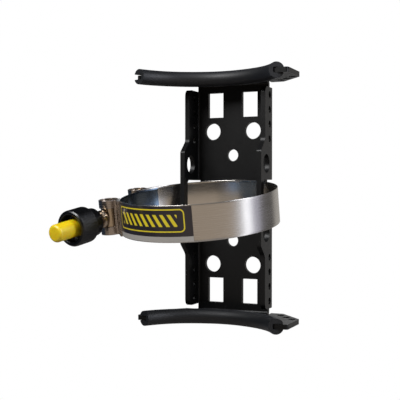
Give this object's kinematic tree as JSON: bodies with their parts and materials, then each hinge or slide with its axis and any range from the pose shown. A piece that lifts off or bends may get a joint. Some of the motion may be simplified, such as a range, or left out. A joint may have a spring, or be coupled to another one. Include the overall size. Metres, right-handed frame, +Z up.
{
  "type": "cylinder mounting bracket",
  "caption": "Bent steel wall bracket with two rubber-edged saddles and a hinged band clamp with a swing bolt and knob, for holding a portable gas cylinder upright.",
  "frame": {"origin": "centre of the bracket's rear mounting face", "axes": "+Z up along the cylinder, +Y out of the rear mounting face towards the wall, the cylinder on the -Y side"},
  "size_m": [0.2315, 0.2404, 0.318],
  "materials": {
    "powder_coat": "satin black powder coat over steel plate",
    "rubber": "matt black extruded rubber",
    "stainless_steel": "brushed along the strip",
    "knob_black": "black, diamond knurled",
    "brass": "turned",
    "cap_yellow": "soft yellow dipped vinyl",
    "label_film": "printed vinyl film with a plain yellow emblem and a white edge"
  },
  "bodies": {
    "bracket": {"mounting_bracket": "powder_coat", "upper_edge_trim": "rubber", "lower_edge_trim": "rubber"},
    "clamp_band": {"band_strap": "stainless_steel", "gap_bridge": "stainless_steel", "label_film": "label_film", "front_loop_strap": "stainless_steel", "rear_loop_strap": "stainless_steel"},
    "trunnion": {"rear_trunnion": "stainless_steel"},
    "swing_bolt": {"t_bolt": "stainless_steel", "bolt_cross_pin": "stainless_steel", "spacer_sleeve": "stainless_steel"},
    "washer": {"thrust_washer": "stainless_steel"},
    "knob": {"knob_grip": "knob_black", "knob_insert": "brass"},
    "cap": {"thread_cap": "cap_yellow"}
  },
  "joints": [
    {"name": "clamp_tilt", "type": "hinge", "parent": "bracket", "child": "clamp_band", "pos_m": [0, -0.03, 0], "axis": [-1, 0, 0], "range_deg": [0, 18]},
    {"name": "trunnion_turn", "type": "hinge", "parent": "clamp_band", "child": "trunnion", "pos_m": [-0.10228, -0.07134, -0.00866], "axis": [-0.019, -0.1599, 0.987], "range_deg": [-25, 25]},
    {"name": "bolt_swing", "type": "hinge", "parent": "clamp_band", "child": "swing_bolt", "pos_m": [-0.09928, -0.1494, -0.02125], "axis": [-0.0245, -0.1851, 0.9824], "range_deg": [-123.5, 23.5]},
    {"name": "knob_travel", "type": "slide", "parent": "swing_bolt", "child": "washer", "axis": [-0.2128, -0.9592, -0.186], "range_m": [0, 0.0035]},
    {"name": "knob_spin", "type": "hinge", "parent": "washer", "child": "knob", "pos_m": [-0.10886, -0.19256, -0.02962], "axis": [-0.2128, -0.9592, -0.186], "range_deg": [0, 720]},
    {"name": "cap_pull", "type": "slide", "parent": "swing_bolt", "child": "cap", "axis": [-0.2128, -0.9592, -0.186], "range_m": [0, 0.032]}
  ],
  "couplings": [
    {"joint": "knob_travel", "follows": "knob_spin", "m_per_rad": 0.0002785}
  ]
}
